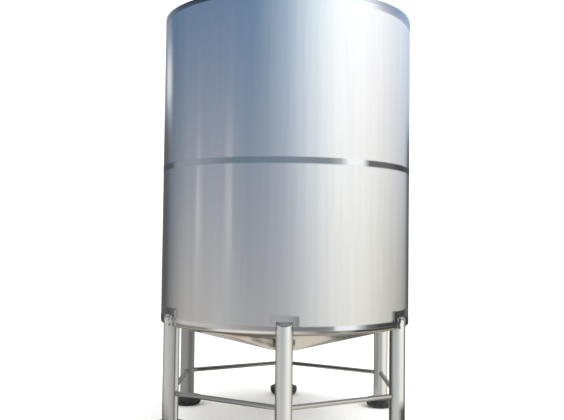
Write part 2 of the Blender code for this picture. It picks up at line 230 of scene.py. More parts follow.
FLANGE_FLAG = [
    (-72, (0.07, 0.07, 0.07), 0.9), (-60, (0.14, 0.14, 0.13), 0.9), (-50, (0.30, 0.29, 0.27), 0.9),
    (-36, (0.34, 0.33, 0.31), 0.9), (-28, (1.10, 1.08, 1.03), 0.95),
    (-12, (1.12, 1.09, 1.02), 0.95), (6, (0.80, 0.78, 0.75), 0.9), (11, (0.50, 0.49, 0.47), 0.9),
    (15, (0.26, 0.26, 0.25), 0.95), (22, (0.28, 0.28, 0.27), 0.95), (25, (0.50, 0.49, 0.47), 0.95),
    (29, (0.30, 0.29, 0.28), 0.95), (32, (0.08, 0.08, 0.07), 0.97), (60, (0.05, 0.05, 0.04), 0.97),
]
# Painted shade darkens the pads at the sides and part of the pad in front
PAD_FLAG = [
    (-62.0, (0.14, 0.14, 0.13), 1.0), (-58.0, (0.18, 0.18, 0.17), 0.95),
    (-56.0, (0.40, 0.40, 0.38), 0.6), (-54.0, (0.48, 0.48, 0.46), 0.0),
    (-4.0, (0.38, 0.37, 0.35), 0.0), (0.5, (0.38, 0.37, 0.35), 0.25),
    (6.0, (0.34, 0.33, 0.32), 0.9), (6.3, (0.34, 0.33, 0.32), 0.0),
    (55.0, (0.08, 0.08, 0.08), 0.0), (56.5, (0.08, 0.08, 0.08), 1.0),
    (71.0, (0.11, 0.11, 0.11), 1.0), (76.0, (0.16, 0.16, 0.16), 0.9),
]
FRONT_LEFT_LEG_FLAG = [
    (-12, (0.60, 0.59, 0.57), 0.0), (4, (0.52, 0.51, 0.49), 0.9), (22, (0.48, 0.47, 0.45), 1.0),
    (34, (0.42, 0.41, 0.39), 1.0), (41, (0.17, 0.17, 0.16), 1.0), (47, (0.20, 0.20, 0.19), 1.0),
    (54, (0.60, 0.60, 0.58), 0.8), (64, (0.80, 0.80, 0.78), 0.8),
]
FRONT_RIGHT_LEG_FLAG = [
    (-78, (0.03, 0.03, 0.03), 1.0), (-70, (0.05, 0.05, 0.05), 1.0), (-62, (0.22, 0.22, 0.21), 0.9),
    (-54, (0.36, 0.36, 0.35), 0.8), (-44, (0.46, 0.46, 0.45), 0.5), (-34, (0.50, 0.50, 0.49), 0.0),
    (56, (0.80, 0.80, 0.78), 0.0), (68, (0.18, 0.18, 0.17), 0.9),
]
# Painted shade on the back left leg, for the shade under the tank
BACK_LEFT_LEG_FLAG = [
    (-80, (0.34, 0.33, 0.32), 0.95), (0, (0.30, 0.30, 0.29), 0.95), (35, (0.14, 0.14, 0.13), 0.95),
    (60, (0.20, 0.20, 0.19), 0.95),
]
FRONT_RIGHT_FOOT_FLAG = [
    (-6, (0.30, 0.30, 0.29), 0.0), (16, (0.20, 0.20, 0.20), 0.7), (34, (0.08, 0.08, 0.08), 0.95),
    (75, (0.04, 0.04, 0.04), 1.0),
]

# Painted reflections and shade round the shell: upper edge, lower edge, tones and the gap to the shell
FLAG_GAP = 0.025
SHELL_FLAGS = {
    "top_flag": (SEAM_TOP + 0.050, SEAM_TOP - 0.006, TOP_FLAG, FLAG_GAP),
    "under_top_flag": (SEAM_TOP + 0.004, SEAM_TOP - 0.040, UNDER_TOP_FLAG, FLAG_GAP * 1.1),
    "middle_flag": (SEAM_MIDDLE + 0.029, SEAM_MIDDLE - 0.026, MIDDLE_FLAG, FLAG_GAP),
    "bottom_flag": (SEAM_BOTTOM + 0.037, SEAM_BOTTOM - 0.004, BOTTOM_FLAG, FLAG_GAP),
    "flange_flag": (SEAM_BOTTOM + 0.004, SEAM_BOTTOM - 0.028, FLANGE_FLAG, FLAG_GAP * 1.1),
    "pad_flag": (PAD_HIGH.z - 0.006, PAD_LOW.z - 0.008, PAD_FLAG, FLAG_GAP * 1.2),
}

# Painted reflections and shade round legs, counted from the front one as 0: leg, edges, tones, gap to
# the leg and soft edge
LEG_GAP = 0.02
FLAG_EDGE = 0.008
LEG_FLAGS = {
    "front_right_leg_flag": (1, LEG_TOP_OUTSIDE, FOOT_HIGH.z, FRONT_RIGHT_LEG_FLAG, LEG_GAP, FLAG_EDGE),
    "front_right_foot_flag": (1, 0.290, -0.050, FRONT_RIGHT_FOOT_FLAG, LEG_GAP * 0.8, 0.090),
    "back_left_leg_flag": (4, LEG_TOP_OUTSIDE, FOOT_HIGH.z, BACK_LEFT_LEG_FLAG, LEG_GAP, FLAG_EDGE),
    "front_left_leg_flag": (5, LEG_TOP_OUTSIDE, FOOT_HIGH.z, FRONT_LEFT_LEG_FLAG, LEG_GAP, FLAG_EDGE),
}

# A painted reflection's own last tones hold on to the first of these azimuths, and it is clear from the
# second
FLAG_ENDS = 84.0
FLAG_CLEAR = 89.0

# Strips of painted shade along the two back rails, seen only in mirror images, with the leg before
# each:
# edges about the rail's axis, gap, colour
RAIL_STRIPS = {"back_right_rail_strip": 2, "back_left_rail_strip": 3}
RAIL_STRIP_HIGH = 0.024
RAIL_STRIP_LOW = -0.008
RAIL_STRIP_GAP = 0.030
RAIL_STRIP_COLOUR = (0.01, 0.01, 0.01, 1.0)

# Discs of painted shade, and one of a painted warm reflection, laid on the floor and seen only in the
# steel,
# that the bottom cone mirrors: centre, outer and inner radius, cover and colour
FLOOR_PATCHES = {
    "floor_shade": ((-0.85, 0.0, 0.002), 1.15, 0.95, 0.88, "#57534D"),
    "floor_patch_near": ((-0.12, 0.95, 0.004), 0.16, 0.10, 0.94, "#30322B"),
    "floor_patch_near_left": ((-0.31, 0.93, 0.008), 0.12, 0.07, 0.92, "#3A3C34"),
    "floor_patch_far": ((-0.13, 1.28, 0.004), 0.12, 0.08, 0.95, "#25261F"),
    "floor_patch_far_left": ((-0.31, 1.24, 0.010), 0.11, 0.07, 0.95, "#2C2D26"),
    "floor_patch_warm": ((-0.53, 1.17, 0.006), 0.17, 0.05, 0.90, "#D9A066"),
}


# Working in object and edit mode

def deselect():
    if bpy.context.object and bpy.context.object.mode != "OBJECT":
        bpy.ops.object.mode_set(mode="OBJECT")
    bpy.ops.object.select_all(action="DESELECT")


def take(piece):
    """Make one piece the only selected and active one."""
    deselect()
    piece.select_set(True)
    bpy.context.view_layer.objects.active = piece


def edit(piece, mode="VERT", action="DESELECT"):
    """Open a piece in edit mode with nothing in it selected, or all of it."""
    take(piece)
    bpy.ops.object.mode_set(mode="EDIT")
    bpy.ops.mesh.select_mode(type=mode)
    bpy.ops.mesh.select_all(action=action)


def pick_edges(piece, test):
    """Select the edges that pass a test of the edge and its middle."""
    shape = bmesh.from_edit_mesh(piece.data)
    for edge in shape.edges:
        middle = (edge.verts[0].co + edge.verts[1].co) / 2.0
        edge.select_set(bool(test(edge, middle)))
    shape.select_flush_mode()
    bmesh.update_edit_mesh(piece.data)


def leave_edit(outward=True):
    if outward:
        bpy.ops.mesh.select_all(action="SELECT")
        bpy.ops.mesh.normals_make_consistent(inside=False)
    bpy.ops.object.mode_set(mode="OBJECT")


def settle(piece):
    """Put a piece's place and turn into its mesh."""
    take(piece)
    bpy.ops.object.transform_apply(location=True, rotation=True, scale=True)


def start(operator, name, location, scale=(1.0, 1.0, 1.0), **settings):
    """Add a primitive at its size and place, and settle it."""
    deselect()
    operator(location=location, **settings)
    piece = bpy.context.object
    piece.name = name
    piece.scale = scale
    settle(piece)
    return piece


def rolled(name, radius, level, depth, centre=(0.0, 0.0)):
    """A sheet rolled into an open upright cylinder, with its middle at a level."""
    return start(bpy.ops.mesh.primitive_cylinder_add, name, (*centre, level), vertices=ROUND,
                 radius=radius, depth=depth, end_fill_type="NOTHING")


def turned(name, profile, sides, centre=(0.0, 0.0)):
    """Draw a circle through a profile of radii and heights. A radius of nought closes it."""
    radius, height = profile[0]
    pivot = (*centre, height)
    piece = start(bpy.ops.mesh.primitive_circle_add, name, pivot, vertices=sides,
                  radius=radius if radius > 0.0 else profile[1][0], fill_type="NOTHING")
    piece.data.name = name
    edit(piece, "EDGE", "SELECT")
    if radius == 0.0:
        bpy.ops.mesh.edge_face_add()
        bpy.ops.mesh.poke()
        pick_edges(piece, lambda edge, middle: edge.is_boundary)
        bpy.ops.transform.translate(value=(0.0, 0.0, profile[1][1] - height))
        profile = profile[1:]
    radius, height = profile[0]
    for next_radius, next_height in profile[1:]:
        bpy.ops.mesh.extrude_edges_move(
            TRANSFORM_OT_translate={"value": (0.0, 0.0, next_height - height)})
        if next_radius == 0.0:
            bpy.ops.mesh.merge(type="CENTER")
        else:
            scale = next_radius / radius
            bpy.ops.transform.resize(value=(scale, scale, 1.0), center_override=pivot)
        radius, height = next_radius, next_height
    leave_edit()
    return piece


def arc(centre, radius, begin, end, steps):
    """Points of an arc in a profile, from one angle to another in degrees."""
    points = []
    for i in range(steps + 1):
        angle = math.radians(begin + (end - begin) * i / steps)
        points.append((centre[0] + radius * math.cos(angle), centre[1] + radius * math.sin(angle)))
    return points


def close_ring(piece):
    """Join the two open ends of a turned profile."""
    edit(piece, "EDGE")
    pick_edges(piece, lambda edge, middle: edge.is_boundary)
    bpy.ops.mesh.bridge_edge_loops()
    leave_edit()


def apply_modifiers(piece):
    take(piece)
    for modifier in list(piece.modifiers):
        bpy.ops.object.modifier_apply(modifier=modifier.name)


def thicken(piece, thickness, offset=-1.0):
    solid = piece.modifiers.new("Plate", "SOLIDIFY")
    solid.thickness = thickness
    solid.offset = offset
    solid.use_even_offset = True
    apply_modifiers(piece)


def soften(piece, width, segments=2, angle=EASED):
    """Ease the sharp edges of a piece."""
    bevel = piece.modifiers.new("Ease", "BEVEL")
    bevel.width = width
    bevel.segments = segments
    bevel.limit_method = "ANGLE"
    bevel.angle_limit = math.radians(angle)
    bevel.harden_normals = False
    apply_modifiers(piece)


def trim(piece, cutter, operation="DIFFERENCE"):
    """Cut a piece with another, or keep the space that they share."""
    cut = piece.modifiers.new("Cut", "BOOLEAN")
    cut.operation = operation
    cut.solver = "EXACT"
    cut.object = cutter
    apply_modifiers(piece)
    bpy.data.objects.remove(cutter, do_unlink=True)


def smooth(piece, angle=SHARP, flat_faces=False):
    """Shade smooth; flat_faces keeps broad faces flat beside the eased edges."""
    take(piece)
    bpy.ops.object.shade_smooth_by_angle(angle=math.radians(angle), keep_sharp_edges=False)
    if flat_faces:
        weighted = piece.modifiers.new("Faces", "WEIGHTED_NORMAL")
        weighted.keep_sharp = True
        apply_modifiers(piece)


def join(parts):
    """Join pieces into the first of them."""
    deselect()
    for part in parts:
        part.select_set(True)
    bpy.context.view_layer.objects.active = parts[0]
    bpy.ops.object.join()


def repeat(piece, name, turn, centre=(0.0, 0.0, 0.0)):
    """A copy with its own mesh, turned about an upright axis."""
    copy = piece.copy()
    copy.data = piece.data.copy()
    copy.name = name
    copy.data.name = name
    middle = Matrix.Translation(Vector(centre))
    copy.data.transform(middle @ Matrix.Rotation(turn, 4, "Z") @ middle.inverted())
    bpy.context.scene.collection.objects.link(copy)
    return copy


def dress(piece, material, nodes=()):
    """Give a finished piece its material and body, and hide the nodes that it stands for."""
    piece.data.materials.clear()
    piece.data.materials.append(material)
    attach(piece, "root")
    if nodes:
        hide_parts(*nodes)
    return piece


# Materials

def srgb(code):
    """A hex colour as linear values."""
    parts = [int(code[i:i + 2], 16) / 255.0 for i in (1, 3, 5)]
    linear = [c / 12.92 if c <= 0.04045 else ((c + 0.055) / 1.055) ** 2.4 for c in parts]
    return (*linear, 1.0)


def per_metre(sizes):
    """How often a pattern repeats in a metre, from its sizes in millimetres."""
    return tuple(1000.0 / size for size in sizes)


def add(tree, kind, inputs=None, **settings):
    """Add a node with its settings; an input is a value or the socket that feeds it."""
    made = tree.nodes.new(kind)
    for name, value in settings.items():
        setattr(made, name, value)
    for key, value in (inputs or {}).items():
        if isinstance(value, bpy.types.NodeSocket):
            tree.links.new(value, made.inputs[key])
        else:
            made.inputs[key].default_value = value
    return made


def set_stops(ramp, stops):
    """Fill a colour ramp from (place, colour) pairs."""
    while len(ramp.elements) > 1:
        ramp.elements.remove(ramp.elements[-1])
    ramp.elements[0].position, ramp.elements[0].color = stops[0]
    for place, colour in stops[1:]:
        ramp.elements.new(place).color = colour


def new_material(name):
    material = bpy.data.materials.new(name)
    material.use_nodes = True
    tree = material.node_tree
    return material, tree, tree.nodes["Principled BSDF"]


def steel(name, colour, roughness, grain, stretch, line_tone, line_depth, blotch,
          patch=(588.0, 588.0, 588.0), patch_depth=0.0):
    """Stainless steel with fine lines and soft uneven patches or waves.

    grain and patch are the sizes of one line and one patch along X, Y and Z in millimetres, so
    lines run along their large numbers. stretch draws highlights out across them.
    """
    material, tree, shader = new_material(name)
    shader.inputs["Metallic"].default_value = 1.0
    shader.inputs["Anisotropic"].default_value = stretch
    shader.inputs["Anisotropic Rotation"].default_value = 0.25
    place = add(tree, "ShaderNodeTexCoord").outputs["Object"]
    lines = add(tree, "ShaderNodeMapping", {"Vector": place, "Scale": per_metre(grain)})
    streaks = add(tree, "ShaderNodeTexNoise", {
        "Vector": lines.outputs[0], "Scale": 1.0, "Detail": 3.0, "Roughness": 0.6})
    spread = add(tree, "ShaderNodeMapping", {"Vector": place, "Scale": per_metre(patch)})
    patches = add(tree, "ShaderNodeTexNoise", {
        "Vector": spread.outputs[0], "Scale": 1.0, "Detail": 2.0})
    tones = [add(tree, "ShaderNodeMapRange", {
        "Value": noise.outputs["Fac"], "To Min": 1.0 - swing, "To Max": 1.0 + swing}).outputs[0]
        for noise, swing in ((patches, blotch), (streaks, line_tone))]
    both = add(tree, "ShaderNodeMath", {0: tones[0], 1: tones[1]}, operation="MULTIPLY")
    tinted = add(tree, "ShaderNodeVectorMath", {0: srgb(colour)[:3], "Scale": both.outputs[0]},
                 operation="SCALE")
    tree.links.new(tinted.outputs[0], shader.inputs["Base Color"])
    rough = add(tree, "ShaderNodeMath", {0: tones[1], 1: roughness}, operation="MULTIPLY")
    tree.links.new(rough.outputs[0], shader.inputs["Roughness"])
    bump = add(tree, "ShaderNodeBump", {
        "Height": streaks.outputs["Fac"], "Strength": 0.25, "Distance": line_depth})
    if patch_depth:
        waves = add(tree, "ShaderNodeBump", {
            "Height": patches.outputs["Fac"], "Distance": patch_depth})
        tree.links.new(waves.outputs[0], bump.inputs["Normal"])
    tree.links.new(bump.outputs[0], shader.inputs["Normal"])
    return material


def make_rubber():
    """Moulded black rubber: nearly black and dull, with paler dust in patches and a fine grit."""
    material, tree, shader = new_material("moulded_black_rubber")
    place = add(tree, "ShaderNodeTexCoord").outputs["Object"]
    # Patches of dust are about 36 mm across
    dust = add(tree, "ShaderNodeTexNoise", {"Vector": place, "Scale": 28.0, "Detail": 5.0})
    ramp = add(tree, "ShaderNodeValToRGB", {"Fac": dust.outputs["Fac"]})
    set_stops(ramp.color_ramp, [(0.40, srgb("#1A1A1C")), (0.72, srgb("#3A3A3A"))])
    tree.links.new(ramp.outputs["Color"], shader.inputs["Base Color"])
    shader.inputs["Roughness"].default_value = 0.55
    # Moulded grit is about 0.5 mm and is drawn as 2.5 mm, so that it shows
    grit = add(tree, "ShaderNodeTexNoise", {"Vector": place, "Scale": 1000.0 / 2.5, "Detail": 2.0})
    bump = add(tree, "ShaderNodeBump", {
        "Height": grit.outputs["Fac"], "Strength": 0.3, "Distance": 0.0004})
    tree.links.new(bump.outputs[0], shader.inputs["Normal"])
    return material


def make_materials():
    """The tank's finishes.

    Belt lines, polishing lines and tool marks are 0.05 to 0.3 mm wide, and the ripples of a weld
    about 1 mm. All are too fine to show, so they are drawn 1.7 to 17 mm wide, as sized here.
    """
    return {
        # Plate ground with a belt: pale and soft, with level lines that draw each highlight out
        # upright. Its faint upright waves are drawn 45 mm wide, coarse enough to show
        "brushed": steel("belt_ground_stainless_plate", "#CCCCCC", 0.20, (400.0, 400.0, 2.38), 0.60,
                         0.03, 0.0001, 0.05, (45.5, 45.5, 1110.0), 0.0006),
        # Weld ground flat and polished: nearly a mirror, drawn out upright by its lines
        "band": steel("polished_weld_band_stainless", "#C6C8CB", 0.12, (400.0, 400.0, 2.38), 0.50,
                      0.06, 0.0003, 0.04),
        # Mill-bright plate: a warm mirror that sways a little
        "bright": steel("bright_polished_stainless_plate", "#D2CFC8", 0.10, (167.0, 167.0, 11.1),
                        0.0, 0.03, 0.0006, 0.03),
        # Tube polished satin: soft upright highlights across fine rings
        "tube": steel("satin_stainless_tube", "#DCDCDA", 0.28, (111.0, 111.0, 1.92), 0.70,
                      0.05, 0.0002, 0.03),
        # Tube as drawn: dull, even and without lines
        "rail": steel("drawn_stainless_tube", "#B8B6B0", 0.42, (16.7, 16.7, 16.7), 0.0,
                      0.03, 0.0002, 0.03),
        # Fittings turned on a lathe: clean, with the tool's fine rings
        "turned": steel("turned_stainless_fitting", "#CFD0D2", 0.22, (33.3, 33.3, 1.67), 0.4,
                        0.04, 0.0002, 0.02),
        # Weld cleaned with acid: grey, matt and rippled
        "weld": steel("pickled_stainless_weld", "#8C8B88", 0.46, (5.56, 5.56, 5.56), 0.0,
                      0.10, 0.0008, 0.05),
        # Weld left as it was laid: a thin warm film over its ripples, in a darker grey that also paints
        # shade along the crease between the bottom's flange and its cone
        "seam": steel("oxidised_stainless_weld", "#A8A49B", 0.30, (8.33, 8.33, 3.33), 0.0,
                      0.10, 0.0006, 0.08),
        "rubber": make_rubber(),
    }


# Shell, cones and their weld bands

def make_course(name, low, high, nodes, material):
    level = (low + high) / 2.0
    course = rolled(name, SHELL_RADIUS, level, high - low)
    edit(course, "FACE", "SELECT")
    bpy.ops.mesh.bisect(plane_co=(0.0, 0.0, level), plane_no=(0.0, 0.0, 1.0))
    leave_edit()
    thicken(course, PLATE)
    smooth(course)
    dress(course, material, nodes)


def make_band(name, high, low, material):
    """A weld ground and polished in a band that stands a little proud."""
    radius = SHELL_RADIUS + BAND_PROUD
    band = turned(name, [(radius, high), (radius, (high + low) / 2.0), (radius, low)], ROUND)
    thicken(band, BAND_PROUD - GAP)
    smooth(band)
    dress(band, material)


def knuckle_arc(radius, begin, steps):
    """The bend between the bottom's flange and its cone, as an arc round the bend's centre."""
    turn = math.degrees(math.pi / 2.0 - CONE_SLOPE)
    reach = KNUCKLE_RADIUS * math.tan(math.radians(turn) / 2.0)
    centre = (SHELL_RADIUS - KNUCKLE_RADIUS, SEAM_BOTTOM - CONE_FLANGE + reach)
    return arc(centre, radius, begin, -turn, steps)


def cone_profile():
    """Outside of the bottom cone, from its seam to the outlet."""
    points = [(SHELL_RADIUS, SEAM_BOTTOM - GAP)] + knuckle_arc(KNUCKLE_RADIUS, 0.0, steps=5)
    tip = NOZZLE_RADIUS + GAP
    last_radius, last_height = points[-1]
    for i in range(1, CONE_RINGS + 1):
        radius = last_radius + (tip - last_radius) * i / CONE_RINGS
        points.append((radius, last_height - (last_radius - radius) * math.tan(CONE_SLOPE)))
    return points


def make_cone_seam(material):
    """The weld between the short flange and the cone, laid over the knuckle. Its darker grey paints
    shade along the crease.
    """
    bead = knuckle_arc(KNUCKLE_RADIUS + BAND_PROUD, SEAM_FROM_ANGLE, steps=8)
    last_radius, last_height = bead[-1]
    bead.append((last_radius - SEAM_ON_CONE,
                 last_height - SEAM_ON_CONE * math.tan(CONE_SLOPE)))
    seam = turned("cone_seam_weld", bead, ROUND)
    thicken(seam, BAND_PROUD - GAP)
    smooth(seam)
    dress(seam, material)


def flipped(profile):
    """The same profile turned over about the middle of the shell."""
    total = SEAM_BOTTOM + SEAM_TOP
    return [(radius, total - height) for radius, height in profile]


def roof_height(place):
    """Height of the roof's outside above a place."""
    radius, height = flipped(cone_profile())[-1]
    return height - (place.xy.length - radius) * math.tan(CONE_SLOPE)


def sharp(edge):
    return edge.is_boundary or (edge.is_manifold and edge.calc_face_angle(0.0) > math.radians(SHARP))


def make_ends(materials):
    bottom = turned("bottom_head", cone_profile(), ROUND)
    thicken(bottom, PLATE)
    smooth(bottom)
    dress(bottom, materials["bright"], ["bottom_cone"])
    roof = turned("roof_head", flipped(cone_profile()), ROUND)
    thicken(roof, PLATE)
    inside = NECK_LOW.z - 2.0 * CUT_SPARE
    hole = turned("manway_hole", [(0.0, NECK_HIGH.z), (NECK_RADIUS + GAP, NECK_HIGH.z - GAP),
                                  (NECK_RADIUS + GAP, inside), (0.0, inside)],
                  FITTING_SIDES, (0.0, NECK_CENTRE))
    trim(roof, hole)
    smooth(roof)

    def neck_rim(edge, middle):
        near_neck = (middle.xy - Vector((0.0, NECK_CENTRE))).length < NECK_RADIUS + 3.0 * GAP
        return sharp(edge) and near_neck and middle.z > roof_height(middle) - PLATE / 2.0

    rim_weld = outline_bead(roof, "manway_neck_weld", FITTING_WELD, neck_rim)
    dress(rim_weld, materials["weld"])
    dress(roof, materials["brushed"], ["roof_cone"])
    tip = cone_profile()[-1][1]
    ring_weld("outlet_weld", NOZZLE_RADIUS, tip, FITTING_WELD, materials)
    ring_weld("roof_nozzle_weld", NOZZLE_RADIUS, SEAM_BOTTOM + SEAM_TOP - tip, FITTING_WELD,
              materials)


# Welds at legs, rails and fittings

def outline_bead(piece, name, size, test):
    """Lay a bead of weld along the edges of a piece that pass a test."""
    take(piece)
    bpy.ops.object.duplicate()
    bead = bpy.context.object
    bead.name = name
    edit(bead, "EDGE")
    pick_edges(bead, lambda edge, middle: not test(edge, middle))
    bpy.ops.mesh.delete(type="EDGE")
    bpy.ops.mesh.select_all(action="SELECT")
    # Sorting gives the points the same order in each run, however the cut left them
    bpy.context.scene.cursor.location = SORT_FROM
    bpy.ops.mesh.sort_elements(type="CURSOR_DISTANCE", elements={"VERT", "EDGE"})
    bpy.ops.mesh.remove_doubles(threshold=MERGE_OUTLINE)
    bpy.ops.object.mode_set(mode="OBJECT")
    bpy.ops.object.convert(target="CURVE")
    bead = bpy.context.object
    bead.data.bevel_depth = size
    bead.data.bevel_resolution = 3
    bead.data.use_fill_caps = True
    bpy.ops.object.convert(target="MESH")
    bead = bpy.context.object
    edit(bead, action="SELECT")
    bpy.ops.mesh.remove_doubles(threshold=MERGE_BEAD)
    leave_edit()
    smooth(bead, BEAD_SHARP)
    return bead


def ring_weld(name, radius, height, size, materials, centre=(0.0, 0.0), sides=FITTING_SIDES):
    """A fillet of weld laid round a neck."""
    bead = turned(name, arc((radius, height), size, 90.0, -270.0, steps=10)[:-1], sides, centre)
    close_ring(bead)
    smooth(bead, BEAD_SHARP)
    return dress(bead, materials["weld"])


# Nozzles, manway and eye plates

def make_nozzle(name, node, face, inside, materials):
    """A neck with a clamp ferrule, its bore open."""
    up = 1.0 if face > inside else -1.0
    bore = NOZZLE_RADIUS - NOZZLE_WALL
    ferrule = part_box(node)[1].x
    nozzle = turned(name, [
        (NOZZLE_RADIUS, inside),
        (NOZZLE_RADIUS, face - up * (FERRULE_RIM + FERRULE_TAPER)),
        (ferrule, face - up * FERRULE_RIM),
        (ferrule, face),
        (bore + FERRULE_LIP, face),
        (bore + FERRULE_LIP, face - up * FERRULE_RECESS),
        (bore, face - up * FERRULE_RECESS),
        (bore, inside),
    ], FITTING_SIDES)
    close_ring(nozzle)
    soften(nozzle, NOZZLE_EASE)
    smooth(nozzle, flat_faces=True)
    dress(nozzle, materials["turned"], [node])


def make_manway(materials):
    """The neck with its flange, and a dished lid bolted down on it."""
    flange = (NECK_HIGH.x - NECK_LOW.x) / 2.0
    top = NECK_HIGH.z
    bore = NECK_RADIUS - PLATE
    neck = turned("manway_neck_ring", [
        (NECK_RADIUS, NECK_LOW.z),
        (NECK_RADIUS, top - MANWAY_FLANGE),
        (flange, top - MANWAY_FLANGE),
        (flange, top),
        (bore, top),
        (bore, NECK_LOW.z),
    ], MANWAY_SIDES, (0.0, NECK_CENTRE))
    close_ring(neck)
    soften(neck, MANWAY_EASE)
    smooth(neck, flat_faces=True)
    dress(neck, materials["turned"], ["manway_neck"])
    seat = LID_LOW.z
    plate = seat + LID_PLATE
    crown = LID_HIGH.z - plate
    profile = [(0.0, LID_HIGH.z)]
    for i in range(1, LID_RINGS + 1):
        share = i / LID_RINGS
        profile.append((LID_DISH_RADIUS * share, plate + crown * (1.0 - share * share)))
    profile += [(flange, plate), (flange, seat), (0.0, seat)]
    lid = turned("manway_cover", profile, MANWAY_SIDES, (0.0, NECK_CENTRE))
    soften(lid, LID_EASE)
    smooth(lid, flat_faces=True)
    dress(lid, materials["turned"], ["manway_lid"])
    make_bolts(materials, (NECK_RADIUS + flange) / 2.0, plate, top - MANWAY_FLANGE)


def make_bolts(materials, ring, above, below):
    """Hexagon bolts with washers through the manway's flange, nuts beneath."""
    centre = (0.0, NECK_CENTRE - ring)

    def hexagon(name, depth, level):
        part = start(bpy.ops.mesh.primitive_cylinder_add, name, (*centre, level), vertices=6,
                     radius=BOLT_HALF_WIDTH / math.cos(math.pi / 6.0), depth=depth)
        soften(part, BOLT_EASE, angle=NUT_EASED)
        return part

    head = hexagon("manway_bolt_heads", BOLT_HEAD, above + WASHER_PLATE + BOLT_HEAD / 2.0)
    washer = turned("washer", [(0.0, above + WASHER_PLATE), (WASHER_RADIUS, above + WASHER_PLATE),
                               (WASHER_RADIUS, above), (0.0, above)], 24, centre)
    soften(washer, WASHER_EASE, segments=1)
    nut = hexagon("nut", BOLT_NUT, below - BOLT_NUT / 2.0 - GAP)
    join([head, washer, nut])
    join([head] + [repeat(head, f"bolt_{i}", math.tau * i / BOLT_COUNT, (0.0, NECK_CENTRE, 0.0))
                   for i in range(1, BOLT_COUNT)])
    smooth(head, NUT_SHARP, flat_faces=True)
    dress(head, materials["turned"])


def make_eye_plates(materials):
    """Eye plates: the solid's own outline with its edges eased, and a weld at the foot."""

    def near_roof(edge, middle):
        return sharp(edge) and abs(middle.z - roof_height(middle)) < PLATE

    for index in (1, 2):
        node = f"lifting_lug_{index}"
        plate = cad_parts[node].copy()
        plate.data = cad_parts[node].data.copy()
        plate.parent = None
        for key in list(plate.keys()):
            del plate[key]
        plate.name = f"eye_plate_{index}"
        bpy.context.scene.collection.objects.link(plate)
        edit(plate, action="SELECT")
        bpy.ops.mesh.remove_doubles(threshold=MERGE_LOOSE)
        bpy.ops.mesh.dissolve_limited(angle_limit=math.radians(1.0))
        leave_edit()
        foot = outline_bead(plate, f"eye_plate_weld_{index}", FITTING_WELD, near_roof)
        dress(foot, materials["weld"])
        soften(plate, EYE_PLATE_EASE, angle=NUT_EASED)
        smooth(plate, flat_faces=True)
        dress(plate, materials["turned"], [node])


# Legs, pads, feet and rails

def make_envelope():
    """The outside of the tank, one gap larger, to cope a leg with."""
    line = [(radius + (GAP if height > SEAM_BOTTOM - CONE_FLANGE else 0.0), height - GAP)
            for radius, height in cone_profile()[1:]]
    top = PAD_HIGH.z + CUT_SPARE
    profile = [(0.0, top), (SHELL_RADIUS + GAP, top)] + line + [(0.0, line[-1][1])]
    return turned("tank_outside", profile, ROUND)


def make_outward(sheet):
    """Face an open curved sheet away from the tank's axis."""
    edit(sheet, "FACE")
    shape = bmesh.from_edit_mesh(sheet.data)
    shape.faces.ensure_lookup_table()
    face = shape.faces[0]
    if face.calc_center_median().xy.dot(face.normal.xy) < 0.0:
        bpy.ops.mesh.select_all(action="SELECT")
        bpy.ops.mesh.flip_normals()
    bpy.ops.object.mode_set(mode="OBJECT")


def make_pad():
    """A curved plate with round corners behind the head of the leg on the -Y side."""
    low, high, side = PAD_LOW.z, PAD_HIGH.z, PAD_HIGH.x
    level = (high + low) / 2.0
    pad = rolled("doubler_1", SHELL_RADIUS + GAP, level, 2.0 * (high - low))
    edit(pad, action="SELECT")
    bpy.ops.mesh.bisect(plane_co=(0.0, -SHELL_RADIUS / 2.0, 0.0), plane_no=(0.0, 1.0, 0.0),
                        clear_outer=True)
    leave_edit(outward=False)
    make_outward(pad)
    thicken(pad, PAD_PLATE, 1.0)
    outline = start(bpy.ops.mesh.primitive_cube_add, "pad_outline", (0.0, -SHELL_RADIUS, level),
                    (2.0 * side, SHELL_RADIUS / 2.0, high - low), size=1.0)
    edit(outline, "EDGE")
    pick_edges(outline, lambda edge, middle: abs(middle.x) > side - GAP
               and min(middle.z - low, high - middle.z) < GAP)
    bpy.ops.mesh.bevel(offset=PAD_CORNER, segments=6, affect="EDGES")
    leave_edit()
    trim(pad, outline, "INTERSECT")
    soften(pad, PAD_EASE, segments=3)
    smooth(pad, flat_faces=True)
    return pad


def make_leg(pad):
    """A tube, coped to the shell, the cone and the pad, with a sloped cap."""
    high = PAD_HIGH.z
    profile = [(0.0, high), (LEG_RADIUS, high), (LEG_RADIUS, LEG_LOW.z), (0.0, LEG_LOW.z)]
    leg = turned("leg_tube_1", profile, LEG_SIDES, (0.0, -LEG_RING))
    edit(leg, action="SELECT")
    bpy.ops.mesh.bisect(plane_co=(0.0, -LEG_RING - LEG_RADIUS, LEG_TOP_OUTSIDE),
                        plane_no=(0.0, -math.sin(LEG_TOP_SLOPE), math.cos(LEG_TOP_SLOPE)),
                        use_fill=True, clear_outer=True)
    leave_edit()
    trim(leg, make_envelope())
    trim(leg, repeat(pad, "pad_space", 0.0))
    smooth(leg, flat_faces=True)
    return leg


def make_foot():
    radius = (FOOT_HIGH.x - FOOT_LOW.x) / 2.0
    height = FOOT_HIGH.z
    rise = radius - FOOT_SOLE_RADIUS
    top = arc((radius - FOOT_SHOULDER, height - FOOT_SHOULDER), FOOT_SHOULDER, 90.0, 0.0, steps=5)
    heel = arc((FOOT_SOLE_RADIUS, rise), rise, 0.0, -90.0, steps=10)
    foot = turned("rubber_foot_1", [(0.0, height)] + top + heel + [(0.0, 0.0)], FITTING_SIDES,
                  (0.0, -LEG_RING))
    smooth(foot)
    return foot


